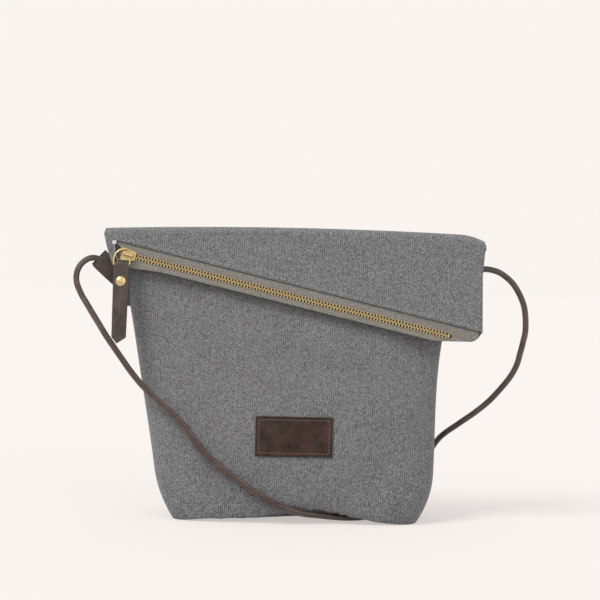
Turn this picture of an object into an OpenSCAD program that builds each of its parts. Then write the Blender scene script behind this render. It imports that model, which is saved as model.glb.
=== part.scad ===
// Fold-over trapeze bag in canvas with a slanted brass zip and a rolled leather strap.
// Millimetres, +Z up, the wide front faces -Y, the base rests on z = 0.

/* [Canvas body] */
// height of the fold's axis over the floor
fold_z = 234.4; // [215:0.2:255]
// half the width of the cloth at the fold
fold_half_w = 157; // [150:0.5:165]
// half the width of the body low down
side_half_w = 112; // [106:0.5:118]
// half the width of the flat base
base_half_w = 101; // [95:0.5:105]
// depth of the flat base
base_depth = 75; // [60:1:85]
// how far the filled body bulges past a straight side
bulge = 6; // [3:0.5:7]
// thickness of the canvas
canvas_t = 1.2; // [0.8:0.1:1.4]
// thickness of the lining
lining_t = 0.4; // [0.2:0.1:0.5]

/* [Fold and flap] */
// radius at which the two layers meet in the fold
fold_r = 4.2; // [3.8:0.1:5]
// angle the flap leans out from hanging straight down
flap_lean = 8; // [6:0.5:14]
// half the clear space between the two folded layers of canvas
pair_gap = 1.2; // [1.15:0.05:1.4]
// how much lower the ends of the fold are than its middle
fold_sag = 3.4; // [0:0.2:6]

/* [Zip] */
// distance of the chain below the fold's axis, at the middle of the bag
chain_drop = 51.6; // [46:0.2:54]
// slant of the chain
chain_slant = 13; // [11:0.5:14]
// distance from one tooth to the next in a row
tooth_pitch = 2.6; // [2.55:0.05:3]
// length of a tooth along the chain
tooth_l = 1.15; // [0.9:0.05:1.15]
// thickness of the tapes
tape_t = 0.6; // [0.4:0.1:0.7]
// width of the lower tape below the chain's centre line
lower_tape_w = 6.8; // [6.5:0.1:8]
// width of the upper tape above the chain's centre line, in sight
upper_tape_w = 9.3; // [8:0.1:10]

/* [Pull] */
// thickness of the ring's wire
ring_wire_d = 1.5; // [1.2:0.1:1.7]
// width of the leather pull
pull_w = 12.8; // [12:0.2:13.4]
// thickness of the pull's leather
pull_leather_t = 1.3; // [1:0.1:1.4]
// diameter of the rivet's cap
rivet_cap_d = 8; // [6:0.5:9]

/* [Leather] */
// width of the label
label_w = 62.6; // [50:0.2:75]
// height of the label
label_h = 32.2; // [25:0.2:40]
// thickness of the label
label_t = 1.3; // [0.8:0.1:2]
// width of the side tabs
tab_w = 16.2; // [14:0.2:16.2]
// thickness of a tab's leather
tab_t = 1.3; // [1:0.1:1.6]
// diameter of the rolled strap
strap_d = 5; // [4:0.2:5]

/* [Hidden] */
frame_x = 6;
frame_y = -3.7;
grow_w = fold_half_w / 157;
grow_z = fold_z / 234.4;
grow_d = base_depth / 75;
pair_half_t = canvas_t + pair_gap;
base_y = 4;
fold_y = -14;
seam_top_y = fold_y + fold_r;
taper_w = 22;
flare_w = fold_half_w - side_half_w - taper_w;
tuck_w = side_half_w - base_half_w;
tuck_z = 40;
sway = 4;
lift_z = 45;
skin_gap = 0.2;
canvas_col = [0.46, 0.46, 0.46];
lining_col = [0.62, 0.58, 0.52];
leather_col = [0.3, 0.24, 0.21];
brass_col = [0.75, 0.6, 0.32];
tape_col = [0.56, 0.53, 0.48];

function mix(a, b, t) = a + (b - a) * t;
function clamp01(v) = min(1, max(0, v));

// the loft: one closed loop of cloth, swept up the body
half_cols = 11;
cols = 2 * half_cols + 1;
function col_f(j) = let (k = j - half_cols) sign(k) * pow(sin(90 * abs(k) / half_cols), 0.7);

function half_w(t) = side_half_w + taper_w * t + flare_w * pow(t, 6)
    - tuck_w * pow(1 - min(1, t * fold_z / tuck_z), 2);
function mid_x(t) = sway * cos(270 * t);
function half_d(t) = pair_half_t + (base_depth / 2 - pair_half_t) * (1 - pow(t, 1.5))
    + bulge * sin(180 * pow(t, 0.55));
function mid_y(t) = mix(base_y, seam_top_y, pow(t, 2.2));
function square_n(t) = 5 - 1.4 * sin(180 * t);
function flat_g(f) = abs(f) < 0.9999 ? 1 : 0;
function round_g(f, n) = pow(max(0, 1 - pow(min(1, abs(f)), n)), 1 / n);
function depth_g(f, t) = mix(round_g(f, square_n(t)), flat_g(f), pow(t, 6));

// the fold's top edge arches gently and drops over the last droop_w at its right corner
droop_w = 22;
droop_rate = 0.011;
function fold_drop(x) = -fold_sag * pow(x / fold_half_w, 2)
    - droop_rate * pow(max(0, x - fold_half_w + droop_w), 2);

// the strap runs under the base on this line and lifts the cloth over it
under_route = [[-62, -40, 3.4], [-44, -40, 4.2], [-26, -40, 5.4], [-8, -38, 9], [8, -35, 13.5],
    [22, -31, 12.5], [36, -26, 11], [50, -19, 9.6], [61, -11, 8.6], [70, -1, 8], [77, 10, 7.8],
    [82, 22, 7.8], [86, 34, 7.8], [90, 44, 8.2]];
lift_reach = 21;
function base_lift(x, y) = max(0, max([for (p = under_route)
    p.z * exp(-(pow(x - p.x, 2) + pow(y - p.y * grow_d, 2)) / pow(lift_reach, 2))]) - 0.05);
function settle(p, z) = [p.x, p.y, p.z + fold_drop(p.x) * pow(z / fold_z, 4)
    + base_lift(p.x, p.y) * pow(max(0, 1 - z / lift_z), 2)];

// a point of the loop: f runs -1..1 across, side is -1 for the front panel and 1 for the back
function loop_pt(f, t, inset, side) = let (z = t * fold_z)
    settle([mid_x(t) + f * (half_w(t) - inset),
        mid_y(t) + side * (half_d(t) - inset) * depth_g(f, t),
        max(z, inset)], z);
function base_pt(f, s, inset, side) =
    settle([mid_x(0) + f * (half_w(0) - inset),
        mid_y(0) + side * s * (half_d(0) - inset) * depth_g(f, 0), inset], 0);

body_rows = 15;
base_rows = 4;
function row_t(k) = pow(k / body_rows, 1.4);
function panel_pts(inset, side) = concat(
    [for (r = [0:base_rows - 1]) for (j = [0:cols - 1]) base_pt(col_f(j), r / base_rows, inset, side)],
    [for (k = [0:body_rows]) for (j = [0:cols - 1]) loop_pt(col_f(j), row_t(k), inset, side)]);

// a sheet: two grids of points, its outer and inner face, joined round the edge
function tris(a, b, c, d) = concat(
    (a == b || b == c || a == c) ? [] : [[a, b, c]],
    (a == c || c == d || a == d) ? [] : [[a, c, d]]);
// rows below "pinch" share the end points of row "pinch"
function vid(r, j, pinch) = (r < pinch && (j == 0 || j == cols - 1)) ? pinch * cols + j : r * cols + j;
function turned(list, flip) = flip ? [for (f = list) [f[2], f[1], f[0]]] : list;
function sheet_faces(rows, pinch, flip) = let (n = rows * cols)
    turned(concat(
        [for (r = [0:rows - 2]) for (j = [0:cols - 2])
            each tris(vid(r, j, pinch), vid(r + 1, j, pinch),
                vid(r + 1, j + 1, pinch), vid(r, j + 1, pinch))],
        [for (r = [0:rows - 2]) for (j = [0:cols - 2])
            each tris(n + vid(r, j, pinch), n + vid(r, j + 1, pinch),
                n + vid(r + 1, j + 1, pinch), n + vid(r + 1, j, pinch))],
        [for (r = [0:rows - 2])
            each tris(vid(r, 0, pinch), n + vid(r, 0, pinch),
                n + vid(r + 1, 0, pinch), vid(r + 1, 0, pinch))],
        [for (r = [0:rows - 2])
            each tris(vid(r, cols - 1, pinch), vid(r + 1, cols - 1, pinch),
                n + vid(r + 1, cols - 1, pinch), n + vid(r, cols - 1, pinch))],
        [for (j = [0:cols - 2])
            each tris(vid(0, j, pinch), vid(0, j + 1, pinch),
                n + vid(0, j + 1, pinch), n + vid(0, j, pinch))],
        [for (j = [0:cols - 2])
            each tris(vid(rows - 1, j, pinch), n + vid(rows - 1, j, pinch),
                n + vid(rows - 1, j + 1, pinch), vid(rows - 1, j + 1, pinch))]), flip);

module sheet(outer, inner, rows, pinch, flip) {
    polyhedron(points = concat(outer, inner), faces = sheet_faces(rows, pinch, flip), convexity = 12);
}

module placed() {
    translate([frame_x, frame_y, 0]) children();
}

module panel(inset, thick, side) {
    placed() sheet(panel_pts(inset, side), panel_pts(inset + thick, side),
        base_rows + body_rows + 1, base_rows, side > 0);
}

// the fold: the same loop carried round the fold's axis
fold_rows = 6;
function fold_pt(f, k, inset, side) = let (
    phi = (180 - flap_lean) * k / fold_rows,
    r = fold_r + side * (pair_half_t - inset) * flat_g(f),
    x = f * (fold_half_w - inset),
    lean = flap_lean * k / fold_rows,
    drop = fold_drop(x))
    [x, fold_y + r * cos(phi) + drop * sin(lean), fold_z + r * sin(phi) + drop * cos(lean)];
function fold_pts(inset, side) = [for (k = [0:fold_rows]) for (j = [0:cols - 1])
    fold_pt(col_f(j), k, inset, side)];

module fold_strip(inset, thick, side) {
    placed() sheet(fold_pts(inset, side), fold_pts(inset + thick, side), fold_rows + 1, 0, side > 0);
}

// the flap: flat, in a frame of its own: x across, y up the flap, z out of it
module in_flap() {
    placed() translate([0, fold_y, fold_z]) rotate([90 - flap_lean, 0, 0]) children();
}
function flap_to_bag(p) = [p.x, fold_y + p.y * sin(flap_lean) - p.z * cos(flap_lean),
    fold_z + p.y * cos(flap_lean) + p.z * sin(flap_lean)];

left_corner_v = chain_v(9 - fold_half_w) + 12.468;
left_taper = 9;
right_taper = 3;
right_taper_v = 30;
strip_f = 0.95;
strip_fall = 290;
corner_fall = 12;
chain_left_s = (13.768 - fold_half_w) / cos(chain_slant);
chain_right_s = fold_half_w - 29.6;
slider_s = chain_left_s + 7.2;
function chain_v(x) = chain_drop + x * tan(chain_slant);
function down(d) = d / cos(chain_slant);
bottom_v = chain_v(fold_half_w - 12.9) - 0.1;
corner_x = fold_half_w - 12;
corner_rate = 0.1;
function low_edge(x) = bottom_v - corner_rate * pow(max(0, x - corner_x), 2);
function left_w(v) = fold_half_w - left_taper * pow(clamp01(v / left_corner_v), 1.5);
function right_w(v) = fold_half_w - right_taper * clamp01(v / right_taper_v);
function edge_x(f, v) = f * (f < 0 ? left_w(v) : right_w(v));
// where an edge that runs along the chain, c further down, crosses column f
function cross_x(f, c) = edge_x(f, chain_v(f * (fold_half_w - right_taper)) + c);
// the zip's left end: how far the lower tape drops as the rows part
spread_l = 43;
spread_h = 4.7;
function tape_spread(s) = spread_h * pow(clamp01((chain_left_s + spread_l - 1 - s) / spread_l), 1.3);

function outer_v(f) = f < -strip_f ? left_corner_v - (1 + f) * strip_fall
    : let (c = -down(upper_tape_w)) chain_v(cross_x(f, c)) + c;
function inner_v(f) = f < -strip_f ? left_corner_v - (1 + f) * corner_fall
    : let (x = cross_x(f, lower_tape_w), c = down(lower_tape_w + tape_spread(x / cos(chain_slant))))
        min(chain_v(x) + c, low_edge(x));
tuck_under = 7;
hem = 2.5;
function outer_lining_v(f) = let (c = -down(upper_tape_w + tuck_under + 1))
    max(hem, chain_v(cross_x(f, c)) + c);
function inner_lining_v(f) = let (c = -down(lower_tape_w))
    max(hem, min(chain_v(cross_x(f, c)) + c, inner_v(f) - hem));

// the lining stands a little clear of the side seams
function seam_clear(inset, v) = inset > canvas_t ? 0.9 * clamp01(v / 3) : 0;
function flap_pt(f, v, inset, side, raise) = let (
    x = f * ((f < 0 ? left_w(v) : right_w(v)) - inset - seam_clear(inset, v)))
    flap_to_bag([x, -v, fold_r + (side * (pair_half_t - inset) + raise) * flat_g(f)]);
// rows of the outer panel are spread evenly; the inner panel's last rows rise to meet the tape
outer_rows = 4;
function even_pts(vs, inset, side) = [for (k = [0:outer_rows]) for (j = [0:cols - 1])
    let (f = col_f(j), top = -fold_drop(f * (fold_half_w - inset)))
    flap_pt(f, mix(top, vs[j], k / outer_rows), inset, side, 0)];
rise_out = 1.05;
rise_in = 1.35;
tape_gap = 0.01;
tape_w0 = fold_r + pair_half_t - canvas_t - tape_t - tape_gap;
rise = tape_w0 - (fold_r - pair_half_t + canvas_t);
inner_steps = [8, rise_in, rise_out, 0];
function inner_pts(vs, inset, side) = [for (k = [0:4]) for (j = [0:cols - 1])
    let (f = col_f(j), top = -fold_drop(f * (fold_half_w - inset)))
    flap_pt(f, k == 0 ? top : vs[j] - inner_steps[k - 1], inset, side, k > 2 ? rise : 0)];

module flap_even(vs, inset, thick, side) {
    placed() sheet(even_pts(vs, inset, side), even_pts(vs, inset + thick, side),
        outer_rows + 1, 0, side > 0);
}

lining_in = canvas_t + skin_gap;

module body_front() color(canvas_col) panel(0, canvas_t, -1);
module body_back() color(canvas_col) panel(0, canvas_t, 1);
module lining_front() color(lining_col) panel(lining_in, lining_t, -1);
module lining_back() color(lining_col) panel(lining_in, lining_t, 1);
module fold_outer() color(canvas_col) fold_strip(0, canvas_t, 1);
module fold_inner() color(canvas_col) fold_strip(0, canvas_t, -1);
module fold_lining_outer() color(lining_col) fold_strip(lining_in, lining_t, 1);
module fold_lining_inner() color(lining_col) fold_strip(lining_in, lining_t, -1);
module flap_outer() color(canvas_col)
    flap_even([for (j = [0:cols - 1]) outer_v(col_f(j))], 0, canvas_t, 1);
module flap_inner() color(canvas_col) let (vs = [for (j = [0:cols - 1]) inner_v(col_f(j))])
    placed() sheet(inner_pts(vs, 0, -1), inner_pts(vs, canvas_t, -1), 5, 0, false);
module flap_lining_outer() color(lining_col)
    flap_even([for (j = [0:cols - 1]) outer_lining_v(col_f(j))], lining_in, lining_t, 1);
module flap_lining_inner() color(lining_col)
    flap_even([for (j = [0:cols - 1]) inner_lining_v(col_f(j))], lining_in, lining_t, -1);

// the zip, in a frame along the chain: x to the right, y up across it, z out
module in_zip() {
    in_flap() translate([0, -chain_drop, 0]) rotate([0, 0, -chain_slant]) children();
}
tape_mid_w = tape_w0 + tape_t / 2;
tooth_half_t = 1.1;
tooth_reach = 2.75;
tooth_cross = 0.7;
tape_edge = 1.6;
bead = 0.25;
part_start = 2.5;
part_end = 8.1;
part_rate = 0.035;
function row_off(s) = let (x = part_start - (s - slider_s))
    x <= 0 ? 0 : x < part_end ? part_rate * x * x
    : part_rate * part_end * part_end + 0.45 * (x - part_end);
function row_turn(s) = let (x = part_start - (s - slider_s))
    x <= 0 ? 0 : atan(2 * part_rate * min(x, part_end)) * clamp01((row_off(s) - 0.5) / 0.6);

tape_end_l = chain_left_s - 5;
tape_end_r = fold_half_w + 3;
corner_r = 5.4;
tape_meet = 0.05;
tape_left = 8.7 - fold_half_w;
tape_right = fold_half_w - 6.6;
tape_top_v = 3.3;
low_left = 11.8 - fold_half_w;
edge_s = [for (i = [0:14]) slider_s + part_start - i * (slider_s + part_start - tape_end_l) / 14];
module tape_outline() {
    n = 8;
    polygon(concat([[tape_left, -tape_top_v], [tape_right, -tape_top_v]],
        [for (i = [0:n]) [corner_x + corner_r * sin(90 - 90 * i / n),
            -bottom_v + corner_r - corner_r * cos(90 - 90 * i / n)]],
        [[low_left, -bottom_v], [low_left, -left_corner_v]]));
}
module tape(side) {
    inner = [for (s = edge_s) [s, side * (tape_edge + bead + row_off(s))]];
    close_s = chain_right_s + 4;
    far_r = [[tape_end_r, side * tape_meet], [close_s + 1, side * tape_meet],
        [close_s, side * (tape_edge + bead)]];
    outer = side > 0 ? [[tape_end_l, upper_tape_w + tuck_under], [tape_end_r, upper_tape_w + tuck_under]]
        : [for (i = [0:16]) let (s = mix(tape_end_l, tape_end_r, pow(i / 16, 2)))
            [s, -lower_tape_w - tape_spread(s)]];
    in_flap() translate([0, 0, tape_w0]) linear_extrude(tape_t) intersection() {
        tape_outline();
        translate([0, -chain_drop]) rotate(-chain_slant) polygon(concat(far_r, inner, outer));
    }
}
module zip_tape_upper() color(tape_col) tape(1);
module zip_tape_lower() color(tape_col) tape(-1);

nib_r = 0.3;
nib_h = 0.35;
dimple_r = 0.45;
dimple_h = 0.3;
module tooth(side, nib) {
    slot = tape_t / 2;
    h = tooth_half_t;
    difference() {
        translate([-tooth_l / 2, 0, tape_mid_w]) rotate([90, 0, 90]) linear_extrude(tooth_l)
            scale([side, 1]) polygon([[-tooth_cross, -0.55], [-tooth_cross, 0.55], [-0.25, h - 0.1],
                [0.6, h], [2.4, h], [tooth_reach, h - 0.25], [tooth_reach, slot], [tape_edge, slot],
                [tape_edge, -slot], [tooth_reach, -slot], [tooth_reach, -h + 0.25], [2.4, -h],
                [0.6, -h], [-0.25, -h + 0.1]]);
        translate([-tooth_l / 2 - 0.05, 0, tape_mid_w]) rotate([0, 90, 0])
            cylinder(r = dimple_r, h = dimple_h + 0.05, $fn = 6);
    }
    if (nib) translate([tooth_l / 2 - 0.05, 0, tape_mid_w]) rotate([0, 90, 0])
        cylinder(r = nib_r, h = nib_h + 0.05, $fn = 6);
}
module teeth(side) {
    first = side > 0 ? chain_left_s : chain_left_s + tooth_pitch / 2;
    in_zip() for (s = [first:tooth_pitch:chain_right_s])
        translate([s, side * row_off(s), 0]) rotate([0, 0, -side * row_turn(s)])
            tooth(side, row_off(s) < 0.02 || row_off(s) > 0.9);
}
module zip_teeth_upper() color(brass_col) teeth(1);
module zip_teeth_lower() color(brass_col) teeth(-1);

stop_l = 1.6;
stop_w = 1;
stop_t = 0.7;
module top_stop(side) {
    s = chain_left_s - 1.4;
    translate([s, side * row_off(s), tape_mid_w]) rotate([0, 0, -side * row_turn(s)])
        for (face = [-1, 1]) translate([-stop_l / 2, side > 0 ? tape_edge : -tape_edge - stop_w,
            face > 0 ? tape_t / 2 : -tape_t / 2 - stop_t]) cube([stop_l, stop_w, stop_t]);
}
module zip_top_stops() color(brass_col) in_zip() {
    top_stop(1);
    top_stop(-1);
}
module zip_bottom_stop() color(brass_col) in_zip()
    translate([chain_right_s + 1.1, -tape_edge + 0.05, tape_mid_w - 0.9])
        cube([1.8, 2 * tape_edge - 0.1, 1.8]);

// slider
plate_gap = 0.2;
front_plate_w = tape_mid_w + tooth_half_t + plate_gap;
front_plate_t = 0.8;
back_plate_t = 0.65;
back_plate_w = tape_mid_w - tooth_half_t - plate_gap - back_plate_t;
flange_gap = 0.15;
slider_half = [[-5.6, 4.7], [-5, 5.2], [-3.2, 5.2], [0, 4.5], [4, 4], [5.6, 3.4], [6.2, 2.4]];
flange_half = [[-4.1, 5.2], [-3.2, 5.2], [0, 4.5], [4, 4], [5.2, 3.6]];
flange_t = 0.55;
bail_w = 2.2;
bail_in = 3;
bail_t = 1.1;
ring_w = front_plate_w + front_plate_t + 1.8;
module slider_plate() {
    polygon(concat(slider_half, [for (i = [len(slider_half) - 1:-1:0])
        [slider_half[i].x, -slider_half[i].y]]));
}
module flanges() {
    for (side = [-1, 1]) polygon(concat([for (p = flange_half) [p.x, side * p.y]],
        [for (i = [len(flange_half) - 1:-1:0])
            [flange_half[i].x, side * (flange_half[i].y - flange_t)]]));
}
module slider_body() color(brass_col) in_zip() translate([slider_s, 0, 0]) {
    translate([0, 0, front_plate_w]) linear_extrude(front_plate_t) slider_plate();
    translate([0, 0, back_plate_w]) linear_extrude(back_plate_t) slider_plate();
    translate([0, 0, tape_mid_w + tape_t / 2 + flange_gap])
        linear_extrude(front_plate_w - tape_mid_w - tape_t / 2 - flange_gap + 0.1) flanges();
    translate([0, 0, back_plate_w + back_plate_t - 0.1])
        linear_extrude(tape_mid_w - tape_t / 2 - flange_gap - back_plate_w - back_plate_t + 0.1) flanges();
    translate([0, 0, back_plate_w + 0.1]) linear_extrude(front_plate_w - back_plate_w)
        polygon([[-5.6, 1], [-4.6, 0.65], [-3.4, 0.2], [-3, 0], [-3.4, -0.2], [-4.6, -0.65], [-5.6, -1]]);
}
module slider_bail() color(brass_col) in_zip()
    translate([slider_s, bail_w / 2, front_plate_w + front_plate_t]) rotate([90, 0, 0])
    linear_extrude(bail_w) difference() {
        polygon([[-4.9, 0], [-4.6, bail_in], [-3.4, bail_in + bail_t], [2.4, bail_in + bail_t],
            [4.2, bail_in], [5, 0]]);
        polygon([[-3.7, -1], [-3.7, bail_in - 0.6], [-3.1, bail_in], [2.1, bail_in],
            [3.3, bail_in - 0.9], [3.5, -1]]);
    }

// pull ring: its right leg lies under the bail and is its hinge
slider_p = -chain_drop - slider_s * sin(chain_slant);
leg_x = slider_s * cos(chain_slant) + 1.515;
ring_out = 13;
ring_bar_p = slider_p - 7.95;
ring_top_p = slider_p + 4.55;
left_bend = 8.6;
right_bend = 3;
corner_bend = 0.9;
wire_r = ring_wire_d / 2;
module wire(a, b) {
    d = b - a;
    translate([a.x, a.y, 0]) rotate([0, 0, atan2(d.y, d.x)]) rotate([0, 90, 0])
        cylinder(r = wire_r, h = norm(d), $fn = 24);
}
module bend(c, r, from) {
    translate([c.x, c.y, 0]) rotate([0, 0, from]) rotate_extrude(angle = 90, $fn = 48)
        translate([r, 0]) circle(r = wire_r, $fn = 24);
}
module pull_ring() color(brass_col) in_flap() translate([leg_x, 0, ring_w]) {
    wire([0, ring_bar_p + corner_bend], [0, ring_top_p - right_bend]);
    bend([-right_bend, ring_top_p - right_bend], right_bend, 0);
    wire([-right_bend, ring_top_p], [left_bend - ring_out, ring_top_p]);
    bend([left_bend - ring_out, ring_top_p - left_bend], left_bend, 90);
    wire([-ring_out, ring_top_p - left_bend], [-ring_out, ring_bar_p + corner_bend]);
    bend([corner_bend - ring_out, ring_bar_p + corner_bend], corner_bend, 180);
    wire([corner_bend - ring_out, ring_bar_p], [-corner_bend, ring_bar_p]);
    bend([-corner_bend, ring_bar_p + corner_bend], corner_bend, 270);
}

// leather pull: one strip folded over the ring's bar
pull_x = leg_x - ring_out / 2;
loop_in = wire_r + 0.1;
loop_out = loop_in + pull_leather_t;
layer_gap = 0.02;
meet_p = 9;
front_tip = 66;
back_tip = 34;
shoulder_p = 3.4;
cut_p = 60;
neck_w = ring_out - ring_wire_d - 1;
module pull_side() {
    t = pull_leather_t;
    difference() {
        intersection() {
            circle(r = loop_out, $fn = 40);
            translate([-0.3, -5]) square([10.3, 10]);
        }
        circle(r = loop_in, $fn = 32);
    }
    for (side = [-1, 1]) polygon([[0, side * loop_in], [-meet_p, side * layer_gap],
        [side > 0 ? -front_tip : -back_tip, side * layer_gap],
        [side > 0 ? -front_tip : -back_tip, side * (layer_gap + t)],
        [-meet_p + 0.6, side * (layer_gap + t)], [0, side * loop_out]]);
}
module pull_face() {
    h = pull_w / 2;
    polygon([[-neck_w / 2, 3], [neck_w / 2, 3], [neck_w / 2, -shoulder_p / 2], [h, -shoulder_p],
        [h - 0.6, -cut_p], [-1.6, -front_tip + 1], [-h + 0.5, -cut_p], [-h, -shoulder_p],
        [-neck_w / 2, -shoulder_p / 2]]);
}
rivet_p = -14.2;
post_r = 1.5;
post_gap = 0.05;
module pull_strip() color(leather_col) in_flap() translate([pull_x, ring_bar_p, ring_w]) difference() {
    intersection() {
        rotate([90, 0, 90]) translate([0, 0, -10]) linear_extrude(20) pull_side();
        translate([0, 0, -5]) linear_extrude(10) pull_face();
    }
    translate([0, rivet_p, -5]) cylinder(r = post_r + post_gap, h = 10, $fn = 32);
}
rivet_top = layer_gap + pull_leather_t;
module rivet_cap() color(brass_col) in_flap()
    translate([pull_x, ring_bar_p + rivet_p, ring_w + rivet_top]) difference() {
        rotate_extrude($fn = 48) intersection() {
            union() {
                square([rivet_cap_d / 2, 0.5]);
                translate([0, -rivet_cap_d * 0.75]) circle(r = rivet_cap_d * 0.75 + 1.5, $fn = 64);
            }
            square([rivet_cap_d / 2, 3]);
        }
        translate([0, 0, -0.5]) cylinder(r = post_r + post_gap, h = 1.2, $fn = 32);
    }
module rivet_post() color(brass_col) in_flap()
    translate([pull_x, ring_bar_p + rivet_p, ring_w]) rotate_extrude($fn = 48)
        polygon([[0, -rivet_top - 0.6], [3.2, -rivet_top - 0.6], [3.6, -rivet_top - 0.3],
            [3.6, -rivet_top], [post_r, -rivet_top], [post_r, rivet_top + 0.65], [0, rivet_top + 0.65]]);

// pale thread tack at the zip's end
tack_r = 1.8;
tack_h = 0.6;
module bar_tack() color([0.87, 0.86, 0.84]) in_flap()
    translate([9 - fold_half_w, 20.1 - left_corner_v, fold_r + pair_half_t])
        cylinder(r = tack_r, h = tack_h, $fn = 24);

// label: a thin plate that follows the front panel
label_x = 2.3;
label_z = 71 * grow_z;
label_lift = 0.12;
label_cols = 7;
label_rows = 5;
function front_y(x, z, out) = let (t = z / fold_z)
    mid_y(t) - (half_d(t) + out) * depth_g((x - mid_x(t)) / half_w(t), t);
function label_pts(out) = [for (r = [0:label_rows - 1]) for (j = [0:label_cols - 1])
    let (x = label_x + label_w * (j / (label_cols - 1) - 0.5),
        z = label_z + label_h * (r / (label_rows - 1) - 0.5))
    [x, front_y(x, z, out), z]];
function label_faces() = let (n = label_rows * label_cols, c = label_cols)
    concat(
        [for (r = [0:label_rows - 2]) for (j = [0:c - 2])
            each tris(r * c + j, (r + 1) * c + j, (r + 1) * c + j + 1, r * c + j + 1)],
        [for (r = [0:label_rows - 2]) for (j = [0:c - 2])
            each tris(n + r * c + j, n + r * c + j + 1, n + (r + 1) * c + j + 1, n + (r + 1) * c + j)],
        [for (r = [0:label_rows - 2]) each tris(r * c, n + r * c, n + (r + 1) * c, (r + 1) * c)],
        [for (r = [0:label_rows - 2])
            each tris(r * c + c - 1, (r + 1) * c + c - 1, n + (r + 1) * c + c - 1, n + r * c + c - 1)],
        [for (j = [0:c - 2]) each tris(j, j + 1, n + j + 1, n + j)],
        [for (j = [0:c - 2]) let (b = n - c) each tris(b + j, n + b + j, n + b + j + 1, b + j + 1)]);
module label_patch() color(leather_col) placed()
    polyhedron(points = concat(label_pts(label_lift + label_t), label_pts(label_lift)),
        faces = label_faces(), convexity = 4);

// side tabs: two layers each, with the strap's end between them
tab_y = -5.5;
tab_close = 0.05;
side_gap = 1.6;
tab_open = strap_d / 2 + 0.25;
tab_root = 12;
part_from = 6;
part_to = 14;
part_back = 0.6;
module tab_layer(side, reach) {
    translate([0, 0, -tab_w / 2]) linear_extrude(tab_w) polygon([[-tab_root, side * tab_close],
        [part_from, side * tab_close], [part_to, side * tab_open], [reach, side * tab_open],
        [reach, side * (tab_open + tab_t)], [part_to - part_back, side * (tab_open + tab_t)],
        [part_from - part_back, side * (tab_close + tab_t)], [-tab_root, side * (tab_close + tab_t)]]);
}
// outline of what stays clear of the body's side, seen from the front
clear_x = fold_half_w + 33;
module beside_body(dir, edge_gap) {
    z0 = 165 * grow_z;
    z1 = 215 * grow_z;
    edge = [for (i = [0:10]) let (t = mix(z0, z1, i / 10) / fold_z)
        [mid_x(t) + dir * (half_w(t) + edge_gap), t * fold_z]];
    translate([0, 30, 0]) rotate([90, 0, 0]) linear_extrude(60)
        polygon(concat(edge, [[dir * clear_x, z1 + 20], [dir * clear_x, z0]]));
}
module tab(dir, anchor_x, anchor_z, tilt, side, reach) {
    placed() intersection() {
        translate([dir * anchor_x, tab_y, anchor_z]) rotate([0, dir > 0 ? -tilt : tilt - 180, 0])
            tab_layer(side, reach);
        beside_body(dir, side_gap);
    }
}
left_tilt = 42.6;
left_ax = 141.5 * grow_w;
left_az = 193.4 * grow_z;
right_tilt = 50;
right_ax = 135 * grow_w;
right_az = 189.3 * grow_z;
left_front_reach = 27.4;
left_back_reach = 30;
right_reach = 21.8;
module tab_left_front() color(leather_col) tab(-1, left_ax, left_az, left_tilt, -1, left_front_reach);
module tab_left_back() color(leather_col) tab(-1, left_ax, left_az, left_tilt, 1, left_back_reach);
module tab_right_front() color(leather_col) tab(1, right_ax, right_az, right_tilt, -1, right_reach);
module tab_right_back() color(leather_col) tab(1, right_ax, right_az, right_tilt, 1, right_reach);

// strap: one rolled cord from tab to tab
strap_sides = 8;
strap_route = [[-150.6, -5.5, 206.1], [-161, -5.5, 211.5], [-168.6, -5.8, 212.8], [-174.2, -7, 210.2],
    [-178.2, -8.6, 205.6], [-180.3, -10.2, 199], [-179.6, -12, 191.5], [-175.4, -14.5, 182.5],
    [-171, -17, 176], [-165.6, -20, 168], [-159.2, -23.4, 158.8], [-152.8, -26.4, 149.4],
    [-145.6, -29, 139.8], [-138.4, -30.5, 130.2], [-131.2, -31.5, 120.6], [-121, -32.5, 109],
    [-107, -34, 96.4], [-90, -37, 81.4], [-72.6, -40.2, 60], [-56, -42, 46], [-38.8, -43, 33.6],
    [-22, -42.4, 22.6], [-5.6, -40, 14], [8.4, -36, 9.2], [25, -30, 6.6], [42, -23, 4.2], [56, -14.5, 3],
    [67, -4, 2.6], [75, 8, 2.6], [81, 21, 2.6], [86, 34, 2.6], [91, 46, 3], [97, 54, 8], [103, 57, 18],
    [110, 54, 32], [118, 45, 48], [127.5, 32, 65.6], [142, 22, 78.6], [154.6, 16, 88.8], [166, 12, 99.2],
    [175, 10, 109.6], [182.6, 8, 119.8], [188, 7, 130.2], [190.6, 6, 140.4], [192.8, 5, 150.4],
    [194.4, 4, 160.6], [193.4, 3, 175.6], [190.4, 2, 185.6], [184.8, 0.5, 195.6], [178.6, -1, 202.4],
    [170, -3, 208], [160.4, -4.6, 210.4], [154.6, -5.3, 209.6], [149.6, -5.5, 206.6], [144.8, -5.5, 201]];
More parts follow.
